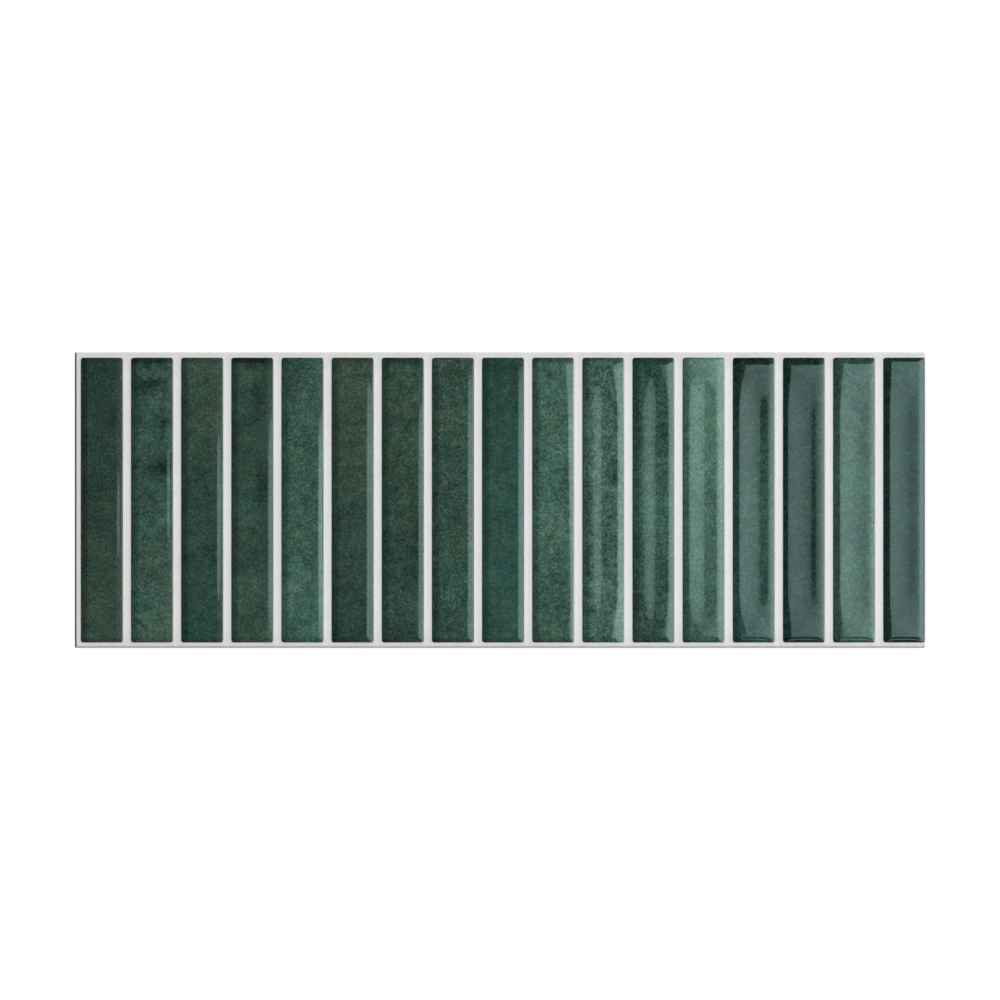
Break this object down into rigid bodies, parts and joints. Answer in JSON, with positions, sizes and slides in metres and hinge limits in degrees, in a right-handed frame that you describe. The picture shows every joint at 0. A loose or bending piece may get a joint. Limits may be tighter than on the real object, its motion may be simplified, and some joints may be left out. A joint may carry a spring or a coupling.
{
  "type": "finger subway tile",
  "caption": "Oblong glazed ceramic wall tile whose face is a row of raised, cushion-edged green fingers with pale moulded joints between them.",
  "frame": {"origin": "centre of the bounding box's footprint, on the bedding plane at the back of the tile", "axes": "+X along the row of fingers towards the side where the last finger is flush, +Y along each finger towards the top edge, +Z out of the glazed face"},
  "size_m": [0.2976, 0.1036, 0.0085],
  "materials": {
    "tile": "gloss green reactive glaze on the fingers, pale satin glaze in the joints, bare biscuit on the sides and back"
  },
  "bodies": {
    "root": {"tile": "tile"}
  },
  "joints": []
}
